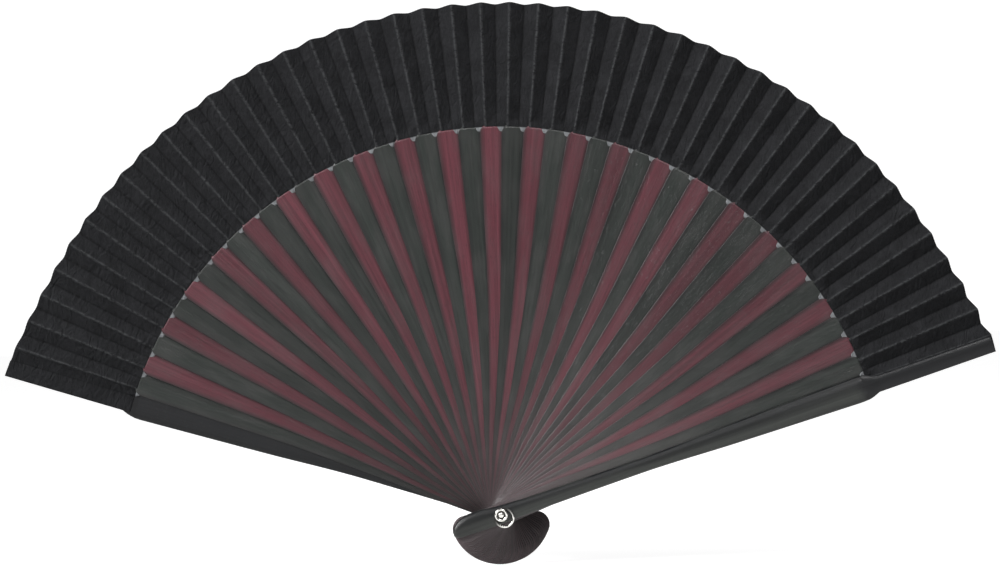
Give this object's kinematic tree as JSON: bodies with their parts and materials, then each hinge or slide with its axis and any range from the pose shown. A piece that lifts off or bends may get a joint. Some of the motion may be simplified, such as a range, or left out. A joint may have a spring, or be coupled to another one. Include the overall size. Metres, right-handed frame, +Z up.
{
  "type": "folding hand fan",
  "caption": "Folding hand fan: thin wooden ribs in two alternating stains between two guards, turning on one rivet, with a black pleated cloth leaf and a loose tassel ring.",
  "frame": {"origin": "on the rivet's axis, at the middle of the stack of sticks", "axes": "+Z up along the middle of the open fan, from the rivet to the leaf; +Y along the rivet from the front guard to the rear guard, so the front faces -Y; +X to the right as seen from the front, across the open fan"},
  "size_m": [0.4078, 0.0276, 0.2307],
  "materials": {
    "guard_lacquer": "black stained and lacquered wood, satin",
    "black_wood": "black stained thin wood, fine grain, matt to satin",
    "red_wood": "dark red stained thin wood, fine grain, matt to satin",
    "leaf_cloth": "black woven cloth, pleated, slight sheen",
    "rivet_metal": "polished plated metal"
  },
  "bodies": {
    "rear_guard": {"rear_guard": "guard_lacquer", "leaf": "leaf_cloth", "rivet_post": "rivet_metal", "rivet_cap": "rivet_metal", "rear_washer": "rivet_metal"},
    "rib_01": {"rib_01": "black_wood"},
    "rib_02": {"rib_02": "red_wood"},
    "rib_03": {"rib_03": "black_wood"},
    "rib_04": {"rib_04": "red_wood"},
    "rib_05": {"rib_05": "black_wood"},
    "rib_06": {"rib_06": "red_wood"},
    "rib_07": {"rib_07": "black_wood"},
    "rib_08": {"rib_08": "red_wood"},
    "rib_09": {"rib_09": "black_wood"},
    "rib_10": {"rib_10": "red_wood"},
    "rib_11": {"rib_11": "black_wood"},
    "rib_12": {"rib_12": "red_wood"},
    "rib_13": {"rib_13": "black_wood"},
    "rib_14": {"rib_14": "red_wood"},
    "rib_15": {"rib_15": "black_wood"},
    "rib_16": {"rib_16": "red_wood"},
    "rib_17": {"rib_17": "black_wood"},
    "rib_18": {"rib_18": "red_wood"},
    "rib_19": {"rib_19": "black_wood"},
    "rib_20": {"rib_20": "red_wood"},
    "rib_21": {"rib_21": "black_wood"},
    "rib_22": {"rib_22": "red_wood"},
    "rib_23": {"rib_23": "black_wood"},
    "rib_24": {"rib_24": "red_wood"},
    "rib_25": {"rib_25": "black_wood"},
    "rib_26": {"rib_26": "red_wood"},
    "rib_27": {"rib_27": "black_wood"},
    "rib_28": {"rib_28": "red_wood"},
    "rib_29": {"rib_29": "black_wood"},
    "rib_30": {"rib_30": "red_wood"},
    "rib_31": {"rib_31": "black_wood"},
    "rib_32": {"rib_32": "red_wood"},
    "rib_33": {"rib_33": "black_wood"},
    "rib_34": {"rib_34": "red_wood"},
    "rib_35": {"rib_35": "black_wood"},
    "rib_36": {"rib_36": "red_wood"},
    "rib_37": {"rib_37": "black_wood"},
    "rib_38": {"rib_38": "red_wood"},
    "rib_39": {"rib_39": "black_wood"},
    "rib_40": {"rib_40": "red_wood"},
    "rib_41": {"rib_41": "black_wood"},
    "rib_42": {"rib_42": "red_wood"},
    "rib_43": {"rib_43": "black_wood"},
    "front_guard": {"front_guard": "guard_lacquer"},
    "tassel_ring": {"tassel_ring": "rivet_metal"}
  },
  "joints": [
    {"name": "front_guard_swing", "type": "hinge", "parent": "rear_guard", "child": "front_guard", "pos_m": [0, 0, 0], "axis": [0, -1, 0], "range_deg": [0, 144.5], "deforming": ["leaf"]},
    {"name": "rib_01_turn", "type": "hinge", "parent": "rear_guard", "child": "rib_01", "pos_m": [0, 0, 0], "axis": [0, -1, 0], "range_deg": [0, 3.29]},
    {"name": "rib_02_turn", "type": "hinge", "parent": "rear_guard", "child": "rib_02", "pos_m": [0, 0, 0], "axis": [0, -1, 0], "range_deg": [0, 6.58]},
    {"name": "rib_03_turn", "type": "hinge", "parent": "rear_guard", "child": "rib_03", "pos_m": [0, 0, 0], "axis": [0, -1, 0], "range_deg": [0, 9.86]},
    {"name": "rib_04_turn", "type": "hinge", "parent": "rear_guard", "child": "rib_04", "pos_m": [0, 0, 0], "axis": [0, -1, 0], "range_deg": [0, 13.15]},
    {"name": "rib_05_turn", "type": "hinge", "parent": "rear_guard", "child": "rib_05", "pos_m": [0, 0, 0], "axis": [0, -1, 0], "range_deg": [0, 16.43]},
    {"name": "rib_06_turn", "type": "hinge", "parent": "rear_guard", "child": "rib_06", "pos_m": [0, 0, 0], "axis": [0, -1, 0], "range_deg": [0, 19.71]},
    {"name": "rib_07_turn", "type": "hinge", "parent": "rear_guard", "child": "rib_07", "pos_m": [0, 0, 0], "axis": [0, -1, 0], "range_deg": [0, 23]},
    {"name": "rib_08_turn", "type": "hinge", "parent": "rear_guard", "child": "rib_08", "pos_m": [0, 0, 0], "axis": [0, -1, 0], "range_deg": [0, 26.28]},
    {"name": "rib_09_turn", "type": "hinge", "parent": "rear_guard", "child": "rib_09", "pos_m": [0, 0, 0], "axis": [0, -1, 0], "range_deg": [0, 29.57]},
    {"name": "rib_10_turn", "type": "hinge", "parent": "rear_guard", "child": "rib_10", "pos_m": [0, 0, 0], "axis": [0, -1, 0], "range_deg": [0, 32.85]},
    {"name": "rib_11_turn", "type": "hinge", "parent": "rear_guard", "child": "rib_11", "pos_m": [0, 0, 0], "axis": [0, -1, 0], "range_deg": [0, 36.13]},
    {"name": "rib_12_turn", "type": "hinge", "parent": "rear_guard", "child": "rib_12", "pos_m": [0, 0, 0], "axis": [0, -1, 0], "range_deg": [0, 39.42]},
    {"name": "rib_13_turn", "type": "hinge", "parent": "rear_guard", "child": "rib_13", "pos_m": [0, 0, 0], "axis": [0, -1, 0], "range_deg": [0, 42.7]},
    {"name": "rib_14_turn", "type": "hinge", "parent": "rear_guard", "child": "rib_14", "pos_m": [0, 0, 0], "axis": [0, -1, 0], "range_deg": [0, 45.99]},
    {"name": "rib_15_turn", "type": "hinge", "parent": "rear_guard", "child": "rib_15", "pos_m": [0, 0, 0], "axis": [0, -1, 0], "range_deg": [0, 49.27]},
    {"name": "rib_16_turn", "type": "hinge", "parent": "rear_guard", "child": "rib_16", "pos_m": [0, 0, 0], "axis": [0, -1, 0], "range_deg": [0, 52.56]},
    {"name": "rib_17_turn", "type": "hinge", "parent": "rear_guard", "child": "rib_17", "pos_m": [0, 0, 0], "axis": [0, -1, 0], "range_deg": [0, 55.84]},
    {"name": "rib_18_turn", "type": "hinge", "parent": "rear_guard", "child": "rib_18", "pos_m": [0, 0, 0], "axis": [0, -1, 0], "range_deg": [0, 59.12]},
    {"name": "rib_19_turn", "type": "hinge", "parent": "rear_guard", "child": "rib_19", "pos_m": [0, 0, 0], "axis": [0, -1, 0], "range_deg": [0, 62.41]},
    {"name": "rib_20_turn", "type": "hinge", "parent": "rear_guard", "child": "rib_20", "pos_m": [0, 0, 0], "axis": [0, -1, 0], "range_deg": [0, 65.69]},
    {"name": "rib_21_turn", "type": "hinge", "parent": "rear_guard", "child": "rib_21", "pos_m": [0, 0, 0], "axis": [0, -1, 0], "range_deg": [0, 68.98]},
    {"name": "rib_22_turn", "type": "hinge", "parent": "rear_guard", "child": "rib_22", "pos_m": [0, 0, 0], "axis": [0, -1, 0], "range_deg": [0, 72.26]},
    {"name": "rib_23_turn", "type": "hinge", "parent": "rear_guard", "child": "rib_23", "pos_m": [0, 0, 0], "axis": [0, -1, 0], "range_deg": [0, 75.54]},
    {"name": "rib_24_turn", "type": "hinge", "parent": "rear_guard", "child": "rib_24", "pos_m": [0, 0, 0], "axis": [0, -1, 0], "range_deg": [0, 78.83]},
    {"name": "rib_25_turn", "type": "hinge", "parent": "rear_guard", "child": "rib_25", "pos_m": [0, 0, 0], "axis": [0, -1, 0], "range_deg": [0, 82.11]},
    {"name": "rib_26_turn", "type": "hinge", "parent": "rear_guard", "child": "rib_26", "pos_m": [0, 0, 0], "axis": [0, -1, 0], "range_deg": [0, 85.4]},
    {"name": "rib_27_turn", "type": "hinge", "parent": "rear_guard", "child": "rib_27", "pos_m": [0, 0, 0], "axis": [0, -1, 0], "range_deg": [0, 88.68]},
    {"name": "rib_28_turn", "type": "hinge", "parent": "rear_guard", "child": "rib_28", "pos_m": [0, 0, 0], "axis": [0, -1, 0], "range_deg": [0, 91.96]},
    {"name": "rib_29_turn", "type": "hinge", "parent": "rear_guard", "child": "rib_29", "pos_m": [0, 0, 0], "axis": [0, -1, 0], "range_deg": [0, 95.25]},
    {"name": "rib_30_turn", "type": "hinge", "parent": "rear_guard", "child": "rib_30", "pos_m": [0, 0, 0], "axis": [0, -1, 0], "range_deg": [0, 98.53]},
    {"name": "rib_31_turn", "type": "hinge", "parent": "rear_guard", "child": "rib_31", "pos_m": [0, 0, 0], "axis": [0, -1, 0], "range_deg": [0, 101.82]},
    {"name": "rib_32_turn", "type": "hinge", "parent": "rear_guard", "child": "rib_32", "pos_m": [0, 0, 0], "axis": [0, -1, 0], "range_deg": [0, 105.1]},
    {"name": "rib_33_turn", "type": "hinge", "parent": "rear_guard", "child": "rib_33", "pos_m": [0, 0, 0], "axis": [0, -1, 0], "range_deg": [0, 108.39]},
    {"name": "rib_34_turn", "type": "hinge", "parent": "rear_guard", "child": "rib_34", "pos_m": [0, 0, 0], "axis": [0, -1, 0], "range_deg": [0, 111.67]},
    {"name": "rib_35_turn", "type": "hinge", "parent": "rear_guard", "child": "rib_35", "pos_m": [0, 0, 0], "axis": [0, -1, 0], "range_deg": [0, 114.95]},
    {"name": "rib_36_turn", "type": "hinge", "parent": "rear_guard", "child": "rib_36", "pos_m": [0, 0, 0], "axis": [0, -1, 0], "range_deg": [0, 118.24]},
    {"name": "rib_37_turn", "type": "hinge", "parent": "rear_guard", "child": "rib_37", "pos_m": [0, 0, 0], "axis": [0, -1, 0], "range_deg": [0, 121.52]},
    {"name": "rib_38_turn", "type": "hinge", "parent": "rear_guard", "child": "rib_38", "pos_m": [0, 0, 0], "axis": [0, -1, 0], "range_deg": [0, 124.81]},
    {"name": "rib_39_turn", "type": "hinge", "parent": "rear_guard", "child": "rib_39", "pos_m": [0, 0, 0], "axis": [0, -1, 0], "range_deg": [0, 128.09]},
    {"name": "rib_40_turn", "type": "hinge", "parent": "rear_guard", "child": "rib_40", "pos_m": [0, 0, 0], "axis": [0, -1, 0], "range_deg": [0, 131.37]},
    {"name": "rib_41_turn", "type": "hinge", "parent": "rear_guard", "child": "rib_41", "pos_m": [0, 0, 0], "axis": [0, -1, 0], "range_deg": [0, 134.66]},
    {"name": "rib_42_turn", "type": "hinge", "parent": "rear_guard", "child": "rib_42", "pos_m": [0, 0, 0], "axis": [0, -1, 0], "range_deg": [0, 137.94]},
    {"name": "rib_43_turn", "type": "hinge", "parent": "rear_guard", "child": "rib_43", "pos_m": [0, 0, 0], "axis": [0, -1, 0], "range_deg": [0, 141.23]},
    {"name": "ring_swing", "type": "hinge", "parent": "rear_guard", "child": "tassel_ring", "pos_m": [0, 0, 0], "axis": [0, -1, 0], "continuous": true}
  ],
  "couplings": [
    {"joint": "rib_01_turn", "follows": "front_guard_swing", "ratio": 0.022727},
    {"joint": "rib_02_turn", "follows": "front_guard_swing", "ratio": 0.045455},
    {"joint": "rib_03_turn", "follows": "front_guard_swing", "ratio": 0.068182},
    {"joint": "rib_04_turn", "follows": "front_guard_swing", "ratio": 0.090909},
    {"joint": "rib_05_turn", "follows": "front_guard_swing", "ratio": 0.11364},
    {"joint": "rib_06_turn", "follows": "front_guard_swing", "ratio": 0.13636},
    {"joint": "rib_07_turn", "follows": "front_guard_swing", "ratio": 0.15909},
    {"joint": "rib_08_turn", "follows": "front_guard_swing", "ratio": 0.18182},
    {"joint": "rib_09_turn", "follows": "front_guard_swing", "ratio": 0.20455},
    {"joint": "rib_10_turn", "follows": "front_guard_swing", "ratio": 0.22727},
    {"joint": "rib_11_turn", "follows": "front_guard_swing", "ratio": 0.25},
    {"joint": "rib_12_turn", "follows": "front_guard_swing", "ratio": 0.27273},
    {"joint": "rib_13_turn", "follows": "front_guard_swing", "ratio": 0.29545},
    {"joint": "rib_14_turn", "follows": "front_guard_swing", "ratio": 0.31818},
    {"joint": "rib_15_turn", "follows": "front_guard_swing", "ratio": 0.34091},
    {"joint": "rib_16_turn", "follows": "front_guard_swing", "ratio": 0.36364},
    {"joint": "rib_17_turn", "follows": "front_guard_swing", "ratio": 0.38636},
    {"joint": "rib_18_turn", "follows": "front_guard_swing", "ratio": 0.40909},
    {"joint": "rib_19_turn", "follows": "front_guard_swing", "ratio": 0.43182},
    {"joint": "rib_20_turn", "follows": "front_guard_swing", "ratio": 0.45455},
    {"joint": "rib_21_turn", "follows": "front_guard_swing", "ratio": 0.47727},
    {"joint": "rib_22_turn", "follows": "front_guard_swing", "ratio": 0.5},
    {"joint": "rib_23_turn", "follows": "front_guard_swing", "ratio": 0.52273},
    {"joint": "rib_24_turn", "follows": "front_guard_swing", "ratio": 0.54545},
    {"joint": "rib_25_turn", "follows": "front_guard_swing", "ratio": 0.56818},
    {"joint": "rib_26_turn", "follows": "front_guard_swing", "ratio": 0.59091},
    {"joint": "rib_27_turn", "follows": "front_guard_swing", "ratio": 0.61364},
    {"joint": "rib_28_turn", "follows": "front_guard_swing", "ratio": 0.63636},
    {"joint": "rib_29_turn", "follows": "front_guard_swing", "ratio": 0.65909},
    {"joint": "rib_30_turn", "follows": "front_guard_swing", "ratio": 0.68182},
    {"joint": "rib_31_turn", "follows": "front_guard_swing", "ratio": 0.70455},
    {"joint": "rib_32_turn", "follows": "front_guard_swing", "ratio": 0.72727},
    {"joint": "rib_33_turn", "follows": "front_guard_swing", "ratio": 0.75},
    {"joint": "rib_34_turn", "follows": "front_guard_swing", "ratio": 0.77273},
    {"joint": "rib_35_turn", "follows": "front_guard_swing", "ratio": 0.79545},
    {"joint": "rib_36_turn", "follows": "front_guard_swing", "ratio": 0.81818},
    {"joint": "rib_37_turn", "follows": "front_guard_swing", "ratio": 0.84091},
    {"joint": "rib_38_turn", "follows": "front_guard_swing", "ratio": 0.86364},
    {"joint": "rib_39_turn", "follows": "front_guard_swing", "ratio": 0.88636},
    {"joint": "rib_40_turn", "follows": "front_guard_swing", "ratio": 0.90909},
    {"joint": "rib_41_turn", "follows": "front_guard_swing", "ratio": 0.93182},
    {"joint": "rib_42_turn", "follows": "front_guard_swing", "ratio": 0.95455},
    {"joint": "rib_43_turn", "follows": "front_guard_swing", "ratio": 0.97727}
  ]
}
